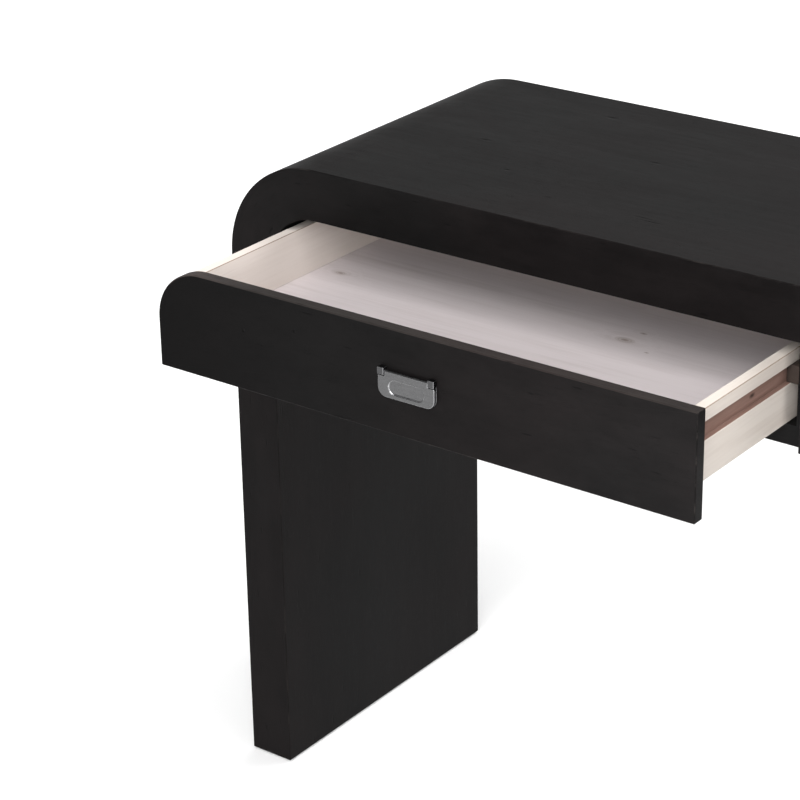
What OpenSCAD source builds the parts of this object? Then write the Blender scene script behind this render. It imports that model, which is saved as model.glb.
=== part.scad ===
// Waterfall console table with two drawers under the top.
// The top turns down into the two slab legs through rounded corners. A case
// for the drawers hangs under it, and each drawer runs on wooden runners and
// has a hinged flap pull. Units are millimetres. The origin is on the floor
// at the middle of the table as it stands with its left drawer part open.

/* [Table] */
// Overall width, outer face to outer face
table_w = 1425; // [1200:5:1800]
// Overall depth of the slabs, front to back
table_d = 390; // [385:5:460]
// Height of the top above the floor
table_h = 760; // [700:5:820]
// Thickness of the leg slabs
leg_t = 57; // [45:1:70]
// Thickness of the top slab
top_t = 58; // [45:1:70]
// Outer radius where the top turns into a leg
corner_r = 118; // [112:1:130]
// Thickness of a floor glide under a leg
glide_t = 2; // [1:0.5:4]

/* [Drawer case] */
// Clear height between the bottom board and the top slab
bay_h = 94; // [90:1:110]
// Thickness of the board under the drawers
bottom_t = 22; // [18:1:26]
// Thickness of the board between the drawers
partition_t = 18; // [16:1:22]
// Thickness of the panel that closes the back
back_t = 9; // [6:1:12]
// How far the back panel sits in from the back edge
back_inset = 5; // [0:1:8]

/* [Drawers] */
// Thickness of a drawer front
front_t = 14; // [12:1:18]
// Gap between a drawer front and the slabs round it
front_gap = 2.5; // [1.5:0.5:4]
// Gap between the two drawer fronts
centre_gap = 3; // [2:0.5:5]
// Length of the drawer box behind the front
box_len = 355; // [280:5:355]
// Height of the drawer sides
side_h = 74.5; // [68:0.5:76]
// Thickness of the drawer sides and back
side_t = 12; // [11:1:15]
// Thickness of the drawer bottom
base_t = 5; // [4:1:6]
// Air between a drawer side and the board beside it
side_gap = 9.5; // [6:0.5:12]
// Height of a runner
runner_h = 19; // [14:1:19]
// How far the left drawer stands open at rest
rest_open = 188; // [0:1:240]

/* [Pull] */
// Width of the pull
pull_w = 68.5; // [60:0.5:90]
// Thickness of the hinged flap
flap_t = 3.2; // [3:0.1:3.6]
// Radius of the hinge pin
pin_r = 1; // [0.8:0.05:1.1]

/* [Hidden] */
$fn = 96;

over = 1;            // how far a cutter runs past the face it opens
fit = 0.05;          // radial clearance of a screw, dowel or pin in its hole
slide_gap = 0.3;     // clearance of a sliding fit
two_sides = ["left", "right"];
black = "#211f1f";
stained = "#2b2826";
limed = "#d8ccc0";
groove_wood = "#c9b5a6";
dowel_wood = "#c8a878";
steel = "#b9bcc0";
pull_metal = "#86888a";
nylon = "#3a3a3a";

// The shell, in the plane of the table's front
half_w = table_w / 2;
inner_x = half_w - leg_t;
under_top = table_h - top_t;
inner_r = corner_r - leg_t;
seam_x = half_w - corner_r;
case_z = under_top - bay_h - bottom_t;
board_z = case_z + bottom_t;
leg_mid_x = half_w - leg_t / 2;
top_mid_z = table_h - top_t / 2;

// Front to back
shut_gap = 0.5;      // air between a shut drawer front and the boards behind it
board_y = front_t + shut_gap;
panel_y1 = table_d - back_inset;
panel_y0 = panel_y1 - back_t;
box_y1 = front_t + box_len;

// One drawer, shut, on the -X side
side_board_t = 12;   // thickness of the boards beside the legs
front_rise = 0.5;    // how far a front's lower edge stays above the case's underside
box_lift = 1.5;      // air between a drawer box and the board under it
base_lift = 14;      // height of a drawer's bottom above the lower edge of its sides
base_rebate = 5;     // how far the drawer bottom reaches into a side
runner_rise = 50.8;  // height of a runner's middle above the lower edge of the sides
runner_air = 1.3;    // air between a runner and the floor of its groove
runner_setback = 2;  // how far a runner starts behind the front of the case
runner_end = 4;      // how far a runner ends short of the back panel
front_x0 = -inner_x + front_gap;
front_x1 = -centre_gap / 2;
front_z0 = case_z + front_rise;
front_z1 = under_top - front_gap;
front_mid_x = (front_x0 + front_x1) / 2;
box_x0 = -inner_x + side_board_t + side_gap;
box_x1 = -partition_t / 2 - side_gap;
box_z0 = board_z + box_lift;
box_z1 = box_z0 + side_h;
base_z0 = box_z0 + base_lift;
groove_d = side_t / 2;
groove_h = runner_h + 2 * slide_gap;
runner_z = box_z0 + runner_rise;
runner_out = side_gap + groove_d - runner_air;
runner_y0 = board_y + runner_setback;
runner_y1 = panel_y0 - runner_end;

// Fixings
dowel_r = 5;
dowel_len = 50;
small_dowel_r = 3;
small_dowel_len = 30;
small_dowel_in_front = 9;  // how much of a small dowel is in the drawer front
screw_r = 2;
case_screw_len = 50;
back_screw_len = 35;
runner_bite = 6;     // how far a runner's screw goes into the board behind it
runner_screw_len = runner_out + runner_bite;
box_screw_len = 40;
glide_r = 12;
stem_r = 2.5;
stem_len = 14;       // how far a glide's stem goes up into the leg
inner_side_mid_x = -inner_x + side_board_t / 2;

// The pull: local X along it, Z up, the drawer front's face at Y = 0
pull_h = 31;
pull_r = 10;         // radius of its lower corners
lug = 7.5;           // width and height of a hinge lug
lug_out = 5.8;       // how far a lug stands out from the drawer front
lug_gap = 0.5;       // air between a lug and the flap's neck
plate_t = 1.2;       // thickness of the fixed plate
flap_y = 1.6;        // from the drawer front to the back of the hanging flap
shoulder = 4.9;      // from the pin down to the top of the flap's wide part
dish_r = 8;          // end radius of the thumb dish
dish_len = 44;
dish_d = 1.4;        // depth of the dish
dish_z = -3.5;       // height of the dish and the bosses from the pull's middle
boss_r = 4;
boss_len = 6;
boss_x = 22;         // from the pull's middle to a boss
axis_y = flap_y + flap_t / 2;
axis_z = pull_h / 2 - lug / 2;
pull_z = (front_z0 + front_z1) / 2;
pull_screw_r = 2;
pull_head_r = 4;
pull_head_t = 2.6;

// Puts the table's middle, with the left drawer and its pull out, over Y = 0
centre_y = (table_d - rest_open - lug_out) / 2;

// Places a piece of the fixed table
module in_table() translate([0, -centre_y, 0]) children();

// Places a piece that is drawn on the -X side, and mirrors it to the right
module on(side) in_table() mirror([side == "right" ? 1 : 0, 0, 0]) children();

// Places a piece of a drawer: the left one stands open, the right one is shut
module in_drawer(side) on(side) translate([0, side == "left" ? -rest_open : 0, 0]) children();

// Places a piece of a pull on its drawer front
module on_front(side) in_drawer(side) translate([front_mid_x, 0, pull_z]) children();

// Draws an outline of the XZ plane from y0 back to y1
module along_y(y0, y1) translate([0, y1, 0]) rotate([90, 0, 0])
    linear_extrude(y1 - y0) children();

// Block between two corners
module block(low, high) translate(low) cube(high - low);

// Rod of radius r from a point p, along +X, +Y or +Z
module rod_x(p, r, len) translate(p) rotate([0, 90, 0]) cylinder(r = r, h = len);
module rod_y(p, r, len) translate(p) rotate([-90, 0, 0]) cylinder(r = r, h = len);
module rod_z(p, r, len) translate(p) cylinder(r = r, h = len);

// Countersunk screw, with its head's face at z = 0 and its shank going up
module screw(len) {
    cylinder(r1 = 2 * screw_r, r2 = screw_r, h = screw_r);
    cylinder(r = screw_r, h = len);
}

// Hole for such a screw
module screw_hole(len) {
    cylinder(r1 = 2 * screw_r + fit, r2 = screw_r + fit, h = screw_r);
    translate([0, 0, -over]) cylinder(r = screw_r + fit, h = over + len + fit);
}

// Outline of a slab arch: legs down to z0, half width hw, top at top_z, corner radius r
module arch(hw, z0, top_z, r) {
    translate([-hw + r, z0]) square([2 * (hw - r), top_z - z0]);
    translate([-hw, z0]) square([2 * hw, top_z - r - z0]);
    for (s = [-1, 1]) translate([s * (hw - r), top_z - r]) circle(r = r);
}

// Outline of the clear space inside the shell
module clear_outline() arch(inner_x, -over, under_top, inner_r);

// The whole waterfall shell: outer outline less the clear space
module shell_outline() difference() {
    arch(half_w, 0, table_h, corner_r);
    clear_outline();
}

// One piece of the shell, cut from it between two corners of the XZ plane
module shell_piece(x0, z0, x1, z1) along_y(0, table_d) intersection() {
    shell_outline();
    translate([x0, z0]) square([x1 - x0, z1 - z0]);
}

// ---- places of the fixings, shared by the pieces they join ----

// Dowels of the -X half, as [start point, axis]
dowel_ys = [60, 190, 320];
end_dowel_ys = [100, 280];
function dowels() = concat(
    [for (y = dowel_ys) [[-seam_x - dowel_len / 2, y, top_mid_z], "x"]],
    [for (y = dowel_ys) [[-leg_mid_x, y, case_z - dowel_len / 2], "z"]],
    [for (y = end_dowel_ys) [[-inner_x - dowel_len / 2, y, case_z + bottom_t / 2], "x"]]);

// Dowels between the partition and the top, on the middle line
function top_dowels() = [for (y = end_dowel_ys) [[0, y, under_top - dowel_len / 2], "z"]];

module dowel_set(list, extra = 0) for (d = list)
    if (d[1] == "x") rod_x(d[0] - [extra, 0, 0], dowel_r + extra, dowel_len + 2 * extra);
    else rod_z(d[0] - [0, 0, extra], dowel_r + extra, dowel_len + 2 * extra);

module shell_dowel_holes() {
    for (m = [0, 1]) mirror([m, 0, 0]) dowel_set(dowels(), fit);
    dowel_set(top_dowels(), fit);
}

// Screws up through the bottom board
case_screw_ys = [45, 190, 325];
module at_case_screws() for (x = [inner_side_mid_x, 0, -inner_side_mid_x], y = case_screw_ys)
    translate([x, y, case_z]) children();

// Screws through the back panel
back_screw_zs = [16, 34];
module at_back_screws() for (x = [inner_side_mid_x, 0, -inner_side_mid_x], z = back_screw_zs)
    translate([x, panel_y1, board_z + z]) rotate([90, 0, 0]) children();

// Screws through the runners, as [head's face x, direction]
runner_screw_ys = [50, 190, 330];
outer_face = -inner_x + side_board_t;
inner_face = -partition_t / 2;
module at_outer_screws() for (y = runner_screw_ys)
    translate([outer_face + runner_out, y, runner_z]) rotate([0, -90, 0]) children();
module at_inner_screws() for (y = runner_screw_ys)
    translate([inner_face - runner_out, y, runner_z]) rotate([0, 90, 0]) children();
module all_runner_screws() for (m = [0, 1]) mirror([m, 0, 0]) {
    at_outer_screws() children();
    at_inner_screws() children();
}

// Drawer dowels into the front, and screws through the sides into the back
small_dowel_zs = [30, 68];
box_screw_zs = [29, 67];
module drawer_dowel_set(extra = 0)
    for (x = [box_x0 + side_t / 2, box_x1 - side_t / 2], z = small_dowel_zs)
        rod_y([x, front_t - small_dowel_in_front - extra, box_z0 + z],
            small_dowel_r + extra, small_dowel_len + 2 * extra);
module at_box_screws() for (z = box_screw_zs) {
    translate([box_x0, box_y1 - side_t / 2, box_z0 + z]) rotate([0, 90, 0]) children();
    translate([box_x1, box_y1 - side_t / 2, box_z0 + z]) rotate([0, -90, 0]) children();
}

// ---- the fixed table ----

module top_panel() color(black) in_table() difference() {
    shell_piece(-seam_x, under_top - over, seam_x, table_h + over);
    shell_dowel_holes();
}

module corner(side) color(black) on(side) difference() {
    shell_piece(-half_w - over, case_z, -seam_x, table_h + over);
    shell_dowel_holes();
}

module leg(side) color(black) on(side) difference() {
    shell_piece(-half_w - over, glide_t, -inner_x + over, case_z);
    shell_dowel_holes();
    glide_set(fit);
}

// Glides: a disc on the floor and a stem up into the leg
glide_ys = [45, 335];
module glide_set(extra = 0) for (y = glide_ys) translate([-leg_mid_x, y, 0]) {
    cylinder(r = glide_r, h = glide_t);
    cylinder(r = stem_r + extra, h = glide_t + stem_len + extra);
}

module floor_glides() color(nylon) for (side = two_sides) on(side) glide_set();

module bottom_board() color(black) in_table() difference() {
    block([-inner_x, board_y, case_z], [inner_x, panel_y1, board_z]);
    shell_dowel_holes();
    at_case_screws() screw_hole(case_screw_len);
}

module back_panel() color(stained) in_table() difference() {
    along_y(panel_y0, panel_y1) intersection() {
        clear_outline();
        translate([-inner_x, board_z]) square([2 * inner_x, bay_h]);
    }
    at_back_screws() screw_hole(back_screw_len);
}

module centre_partition() color(stained) in_table() difference() {
    block([-partition_t / 2, board_y, board_z], [partition_t / 2, panel_y0, under_top]);
    shell_dowel_holes();
    at_case_screws() screw_hole(case_screw_len);
    at_back_screws() screw_hole(back_screw_len);
    all_runner_screws() screw_hole(runner_screw_len);
}

// Board beside a leg that carries the outer runner; its top follows the corner
module inner_side(side) color(stained) on(side) difference() {
    along_y(board_y, panel_y0) intersection() {
        clear_outline();
        translate([-inner_x, board_z]) square([side_board_t, bay_h]);
    }
    at_case_screws() screw_hole(case_screw_len);
    at_back_screws() screw_hole(back_screw_len);
    at_outer_screws() screw_hole(runner_screw_len);
}

module outer_runner(side) color(stained) on(side) difference() {
    block([outer_face, runner_y0, runner_z - runner_h / 2],
        [outer_face + runner_out, runner_y1, runner_z + runner_h / 2]);
    at_outer_screws() screw_hole(runner_screw_len);
}

module inner_runner(side) color(stained) on(side) difference() {
    block([inner_face - runner_out, runner_y0, runner_z - runner_h / 2],
        [inner_face, runner_y1, runner_z + runner_h / 2]);
    at_inner_screws() screw_hole(runner_screw_len);
}

module shell_dowels() color(dowel_wood) in_table() {
    for (m = [0, 1]) mirror([m, 0, 0]) dowel_set(dowels());
    dowel_set(top_dowels());
}

module case_screws() color(steel) in_table() at_case_screws() screw(case_screw_len);

module back_screws() color(steel) in_table() at_back_screws() screw(back_screw_len);

module runner_screws() color(steel) in_table() all_runner_screws() screw(runner_screw_len);

// ---- a drawer ----

// Front: its outer top corner follows the shell's inner corner
module drawer_front(side) color(black) in_drawer(side) difference() {
    along_y(0, front_t) {
        translate([-seam_x, front_z0]) square([front_x1 + seam_x, front_z1 - front_z0]);
        translate([front_x0, front_z0])
            square([front_x1 - front_x0, under_top - inner_r - front_z0]);
        translate([-seam_x, under_top - inner_r]) intersection() {
            circle(r = inner_r - front_gap);
            translate([-inner_r, 0]) square(inner_r);
        }
    }
    drawer_dowel_set(fit);
    for (s = [-1, 1]) {
        rod_y([front_mid_x + s * boss_x, -over, pull_z + dish_z],
            boss_r + fit, boss_len + over + fit);
        rod_y([front_mid_x + s * boss_x, 0, pull_z + dish_z], pull_screw_r + fit, front_t + over);
    }
}

// A side's blank with the groove for the drawer bottom on its inner face at x = side_t
module side_blank() difference() {
    block([0, front_t, box_z0], [side_t, box_y1, box_z1]);
    block([-over, front_t - over, runner_z - groove_h / 2],
        [groove_d, box_y1 + over, runner_z + groove_h / 2]);
    block([side_t - base_rebate, front_t - over, base_z0],
        [side_t + over, box_y1 + over, base_z0 + base_t]);
}

module drawer_outer_side(side) color(limed) in_drawer(side) difference() {
    translate([box_x0, 0, 0]) side_blank();
    drawer_dowel_set(fit);
    at_box_screws() screw_hole(box_screw_len);
}

module drawer_inner_side(side) color(limed) in_drawer(side) difference() {
    translate([box_x1, 0, 0]) mirror([1, 0, 0]) side_blank();
    drawer_dowel_set(fit);
    at_box_screws() screw_hole(box_screw_len);
}

// The back stands on the bottom, between the sides
module drawer_back(side) color(limed) in_drawer(side) difference() {
    block([box_x0 + side_t, box_y1 - side_t, base_z0 + base_t], [box_x1 - side_t, box_y1, box_z1]);
    at_box_screws() screw_hole(box_screw_len);
}

module drawer_bottom(side) color(limed) in_drawer(side)
    block([box_x0 + side_t - base_rebate, front_t, base_z0],
        [box_x1 - side_t + base_rebate, box_y1, base_z0 + base_t]);

module drawer_dowels(side) color(dowel_wood) in_drawer(side) drawer_dowel_set();

module drawer_screws(side) color(steel) in_drawer(side) at_box_screws() screw(box_screw_len);

// ---- a pull ----

// Outline of the pull below z = top_z: square at the top, round at the lower corners
module pull_outline(w, top_z) {
    low = -pull_h / 2;
    translate([-w / 2, low + pull_r]) square([w, top_z - low - pull_r]);
    translate([-w / 2 + pull_r, low]) square([w - 2 * pull_r, pull_r]);
    for (s = [-1, 1]) translate([s * (w / 2 - pull_r), low + pull_r]) circle(r = pull_r);
}

// Fixed plate: hinge lugs in front, threaded bosses behind
module pull_plate(side) color(pull_metal) on_front(side) difference() {
    union() {
        along_y(-plate_t, 0) pull_outline(pull_w, axis_z);
        for (s = [-1, 1]) {
            translate([s * (pull_w - lug) / 2, 0, axis_z])
                block([-lug / 2, -lug_out, -lug / 2], [lug / 2, 0, lug / 2]);
            rod_y([s * boss_x, -plate_t, dish_z], boss_r, boss_len + plate_t);
        }
    }
    for (s = [-1, 1])
        rod_y([s * boss_x, -plate_t / 2, dish_z], pull_screw_r + fit, boss_len + plate_t);
    rod_x([-pull_w / 2 - over, -axis_y, axis_z], pin_r + fit, pull_w + 2 * over);
}

// Hinged flap: a slab with a shallow thumb dish, and a round top edge about the pin
module pull_flap(side) color(pull_metal) on_front(side) difference() {
    neck_w = pull_w - 2 * (lug + lug_gap);
    union() {
        along_y(-flap_y - flap_t, -flap_y) {
            pull_outline(pull_w, axis_z - shoulder);
            translate([-neck_w / 2, -pull_r]) square([neck_w, axis_z + pull_r]);
        }
        rod_x([-neck_w / 2, -axis_y, axis_z], flap_t / 2, neck_w);
    }
    rod_x([-pull_w, -axis_y, axis_z], pin_r + fit, 2 * pull_w);
    along_y(-flap_y - flap_t - over, -flap_y - flap_t + dish_d) {
        for (s = [-1, 1]) translate([s * (dish_len / 2 - dish_r), dish_z]) circle(r = dish_r);
        translate([-dish_len / 2 + dish_r, dish_z - dish_r]) square([dish_len - 2 * dish_r, 2 * dish_r]);
    }
}

module pull_pin(side) color(steel) on_front(side)
    rod_x([-pull_w / 2, -axis_y, axis_z], pin_r, pull_w);

// Screws from inside the drawer into the plate's bosses
module pull_screws(side) color(steel) on_front(side) for (s = [-1, 1]) {
    rod_y([s * boss_x, -plate_t / 2 + fit, dish_z], pull_screw_r, front_t + plate_t / 2);
    rod_y([s * boss_x, front_t, dish_z], pull_head_r, pull_head_t);
}

top_panel();
corner("left");  // left_corner
corner("right");  // right_corner
leg("left");  // left_leg
leg("right");  // right_leg
bottom_board();
back_panel();
centre_partition();
inner_side("left");  // left_inner_side
inner_side("right");  // right_inner_side
outer_runner("left");  // left_bay_outer_runner
inner_runner("left");  // left_bay_inner_runner
outer_runner("right");  // right_bay_outer_runner
inner_runner("right");  // right_bay_inner_runner
floor_glides();
shell_dowels();
case_screws();
back_screws();
runner_screws();
drawer_front("left");  // left_drawer_front
drawer_outer_side("left");  // left_drawer_outer_side
drawer_inner_side("left");  // left_drawer_inner_side
drawer_back("left");  // left_drawer_back
drawer_bottom("left");  // left_drawer_bottom
drawer_dowels("left");  // left_drawer_dowels
drawer_screws("left");  // left_drawer_screws
pull_plate("left");  // left_pull_plate
pull_screws("left");  // left_pull_screws
pull_pin("left");  // left_pull_pin
pull_flap("left");  // left_pull_flap
drawer_front("right");  // right_drawer_front
drawer_outer_side("right");  // right_drawer_outer_side
drawer_inner_side("right");  // right_drawer_inner_side
drawer_back("right");  // right_drawer_back
drawer_bottom("right");  // right_drawer_bottom
drawer_dowels("right");  // right_drawer_dowels
drawer_screws("right");  // right_drawer_screws
pull_plate("right");  // right_pull_plate
pull_screws("right");  // right_pull_screws
pull_pin("right");  // right_pull_pin
pull_flap("right");  // right_pull_flap
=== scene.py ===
"""Console table: the looks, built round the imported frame.

Everything is in metres, in the frame's own axes: X along the table, Y from the front to the back,
Z up. Boards that show are rebuilt with eased edges and two point attributes: "grain" holds each
point's place along and across its board, so that the wood's figure follows the bent corners, and
"wear" is 1 on rounded arrises, where the finish has rubbed.
"""

import math

import bmesh
import bpy
from mathutils import Matrix, Vector


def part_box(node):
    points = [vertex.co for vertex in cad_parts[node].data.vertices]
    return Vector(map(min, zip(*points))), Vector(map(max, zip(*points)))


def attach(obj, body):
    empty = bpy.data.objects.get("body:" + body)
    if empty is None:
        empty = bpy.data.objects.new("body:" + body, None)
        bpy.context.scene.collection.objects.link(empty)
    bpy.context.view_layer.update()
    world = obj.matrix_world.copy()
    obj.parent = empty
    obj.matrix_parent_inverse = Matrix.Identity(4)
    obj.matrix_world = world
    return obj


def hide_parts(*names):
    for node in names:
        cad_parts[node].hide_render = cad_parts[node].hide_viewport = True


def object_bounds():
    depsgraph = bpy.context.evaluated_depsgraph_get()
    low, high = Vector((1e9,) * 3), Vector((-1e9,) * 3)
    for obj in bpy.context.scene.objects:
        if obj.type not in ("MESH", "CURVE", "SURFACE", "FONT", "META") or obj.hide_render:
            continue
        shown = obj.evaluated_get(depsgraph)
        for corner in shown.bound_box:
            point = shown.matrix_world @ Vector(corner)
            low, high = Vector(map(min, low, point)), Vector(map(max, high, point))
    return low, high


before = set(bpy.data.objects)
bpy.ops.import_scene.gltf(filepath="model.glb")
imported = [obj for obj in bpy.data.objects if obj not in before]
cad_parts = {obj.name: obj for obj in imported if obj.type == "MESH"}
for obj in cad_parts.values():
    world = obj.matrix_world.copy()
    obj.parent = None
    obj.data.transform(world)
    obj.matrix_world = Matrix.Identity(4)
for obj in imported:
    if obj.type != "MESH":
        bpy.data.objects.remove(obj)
CAD_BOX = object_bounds()
MM = 0.001
SIDES = ("left", "right")

# Order of a point's coordinates that puts the named grain axis first
GRAIN_ORDER = {"X": (0, 1, 2), "Y": (1, 0, 2), "Z": (2, 0, 1)}

# ---------------------------------------------------------------- shader helpers


def times(colour, factor):
    """A colour made lighter or darker."""
    return tuple(factor * c for c in colour)


class Shader:
    """A node material with one Principled BSDF, and short calls that add and link nodes."""

    def __init__(self, name, **sockets):
        self.material = bpy.data.materials.new(name)
        self.material.use_nodes = True
        self.tree = self.material.node_tree
        self.bsdf = self.tree.nodes["Principled BSDF"]
        for key, value in sockets.items():
            self.bsdf.inputs[key.replace("_", " ")].default_value = value

    def feed(self, **sources):
        """Links outputs to the shader's own sockets, whose names are written with underscores."""
        for key, source in sources.items():
            self.tree.links.new(source, self.bsdf.inputs[key.replace("_", " ")])

    def node(self, kind, inputs=(), **props):
        """Adds a node. inputs holds (socket name or number, value or output socket) pairs."""
        node = self.tree.nodes.new(kind)
        for key, value in props.items():
            setattr(node, key, value)
        for key, value in inputs:
            if isinstance(value, bpy.types.NodeSocket):
                self.tree.links.new(value, node.inputs[key])
            else:
                node.inputs[key].default_value = value
        return node

    def place(self):
        """Object coordinates."""
        return self.node("ShaderNodeTexCoord").outputs["Object"]

    def attribute(self, name, output="Fac"):
        return self.node("ShaderNodeAttribute", attribute_name=name).outputs[output]

    def grain(self, axis=None):
        """The "grain" attribute, or object coordinates with the named grain axis put first."""
        if axis is None:
            return self.attribute("grain", "Vector")
        split = self.node("ShaderNodeSeparateXYZ", [(0, self.place())])
        ordered = [(i, split.outputs[o]) for i, o in enumerate(GRAIN_ORDER[axis])]
        return self.node("ShaderNodeCombineXYZ", ordered).outputs[0]

    def vector(self, operation, a, b):
        return self.node("ShaderNodeVectorMath", [(0, a), (1, b)], operation=operation).outputs[0]

    def scale(self, vector, factor):
        inputs = [(0, vector), (3, factor)]
        return self.node("ShaderNodeVectorMath", inputs, operation="SCALE").outputs[0]

    def distance(self, vector, centre, ratio):
        """How far the vector is from the centre, with each axis multiplied by its ratio."""
        away = self.vector("MULTIPLY", self.vector("SUBTRACT", vector, centre), ratio)
        return self.node("ShaderNodeVectorMath", [(0, away)], operation="LENGTH").outputs["Value"]

    def stretched(self, vector, along, across):
        """The vector scaled for a texture: along the grain, and across it."""
        return self.vector("MULTIPLY", vector, (along, across, across))

    def noise(self, vector, scale=1.0, detail=4.0, roughness=0.5, distortion=0.0):
        return self.node(
            "ShaderNodeTexNoise",
            [("Vector", vector), ("Scale", scale), ("Detail", detail), ("Roughness", roughness),
             ("Distortion", distortion)],
        ).outputs["Fac"]

    def math(self, operation, a, b=0.0):
        return self.node("ShaderNodeMath", [(0, a), (1, b)], operation=operation).outputs[0]

    def total(self, *terms):
        """Sum of (value, weight) terms."""
        result = 0.0
        for value, weight in terms:
            result = self.math("ADD", result, self.math("MULTIPLY", value, weight))
        return result

    def remap(self, value, low, high, to_low=0.0, to_high=1.0):
        return self.node(
            "ShaderNodeMapRange",
            [("Value", value), ("From Min", low), ("From Max", high), ("To Min", to_low),
             ("To Max", to_high)],
        ).outputs[0]

    def ramp(self, value, *stops):
        """Colour ramp: stops are (place, (r, g, b))."""
        node = self.node("ShaderNodeValToRGB", [("Fac", value)])
        elements = node.color_ramp.elements
        while len(elements) < len(stops):
            elements.new(0.5)
        for element, (place, colour) in zip(elements, stops):
            element.position = place
            element.color = (*colour, 1.0)
        return node.outputs["Color"]

    def mix(self, factor, a, b, blend="MIX"):
        """Colour a with that share of colour b blended over it."""
        a, b = (c if isinstance(c, bpy.types.NodeSocket) else (*c, 1.0) for c in (a, b))
        inputs = [(0, factor), (6, a), (7, b)]
        return self.node("ShaderNodeMix", inputs, data_type="RGBA", blend_type=blend).outputs[2]

    def bump(self, height, depth, strength):
        """Relief of that depth in metres."""
        inputs = [("Height", height), ("Distance", depth), ("Strength", strength)]
        self.feed(Normal=self.node("ShaderNodeBump", inputs).outputs["Normal"])


BLACK_STAIN = (0.0036, 0.0035, 0.0035), (0.0092, 0.0086, 0.0086)
RUBBED_STAIN = (0.034, 0.030, 0.028)


def knock(centre, half_x, half_y, half_z):
    """A knock in a surface: its centre, and one over each half size, which is in millimetres."""
    return centre, tuple(1 / (half * MM) for half in (half_x, half_y, half_z))


def black_veneer(name, grain_axis=None, stain=BLACK_STAIN, painted_light_ramp=None, knocks=()):
    """Oak veneer under a black stain: soft figure, sparse open pores, satin coat, rubbed arrises.

    stain is its darkest and lightest colour. The ramp (|x| from, |x| to, factor from, factor to)
    scales the colour along the table: painted light and shade. knocks come from knock()."""
    darkest, lightest = stain
    s = Shader(name, Roughness=0.46, Specular_IOR_Level=0.048)
    grain, place = s.grain(grain_axis), s.place()
    figure = s.noise(s.stretched(grain, 2.2, 13.0), detail=5.0, roughness=0.6, distortion=0.7)
    streaks = s.noise(s.stretched(grain, 9.0, 150.0), detail=5.0, roughness=0.6)
    mottle = s.noise(s.stretched(grain, 11.0, 25.0), roughness=0.65)
    pores = s.remap(s.noise(s.stretched(grain, 55.0, 1500.0), detail=3.0), 0.60, 0.72)
    dents = s.remap(s.noise(s.stretched(grain, 34.0, 240.0), detail=1.0), 0.73, 0.79)
    knocked = 0.0
    for centre, ratio in knocks:
        knocked = s.math("MAXIMUM", knocked, s.remap(s.distance(place, centre, ratio), 1.0, 0.2))

    tone = s.total((figure, 0.35), (streaks, 0.15), (mottle, 0.5))
    colour = s.ramp(tone, (0.32, darkest), (0.68, lightest))
    warmth = s.remap(s.noise(grain, scale=2.6, detail=2.0), 0.4, 0.6)
    colour = s.mix(warmth, colour, (1.08, 0.97, 0.97), blend="MULTIPLY")
    pits = s.math("MAXIMUM", pores, dents)
    colour = s.mix(s.math("MULTIPLY", pits, 0.6), colour, times(darkest, 0.4))
    colour = s.mix(s.math("MULTIPLY", knocked, 0.75), colour, times(darkest, 0.15))
    # Painted light and shade: the colour scaled up or down along the table
    if painted_light_ramp:
        x = s.node("ShaderNodeSeparateXYZ", [(0, place)]).outputs[0]
        colour = s.scale(colour, s.remap(s.math("ABSOLUTE", x), *painted_light_ramp))
    rubbed = s.remap(s.noise(s.stretched(grain, 24.0, 90.0), roughness=0.7), 0.50, 0.64)
    rubbed = s.math("MULTIPLY", rubbed, s.attribute("wear"))
    colour = s.mix(s.math("MULTIPLY", rubbed, 0.6), colour, RUBBED_STAIN)

    satin = s.remap(streaks, 0.3, 0.7, 0.44, 0.50)
    satin = s.math("ADD", satin, s.remap(mottle, 0.3, 0.7, -0.045, 0.055))
    s.feed(Base_Color=colour, Roughness=s.total((satin, 1.0), (pores, 0.12)))
    deepest = s.math("MAXIMUM", pores, s.math("MULTIPLY", dents, 2.0))
    s.bump(s.total((streaks, 0.3), (deepest, -1.0), (knocked, -6.0)), 0.14 * MM, 0.6)
    return s.material


KNOT_RINGS, KNOT_HEART = (0.25, 0.185, 0.145), (0.16, 0.11, 0.085)


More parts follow.
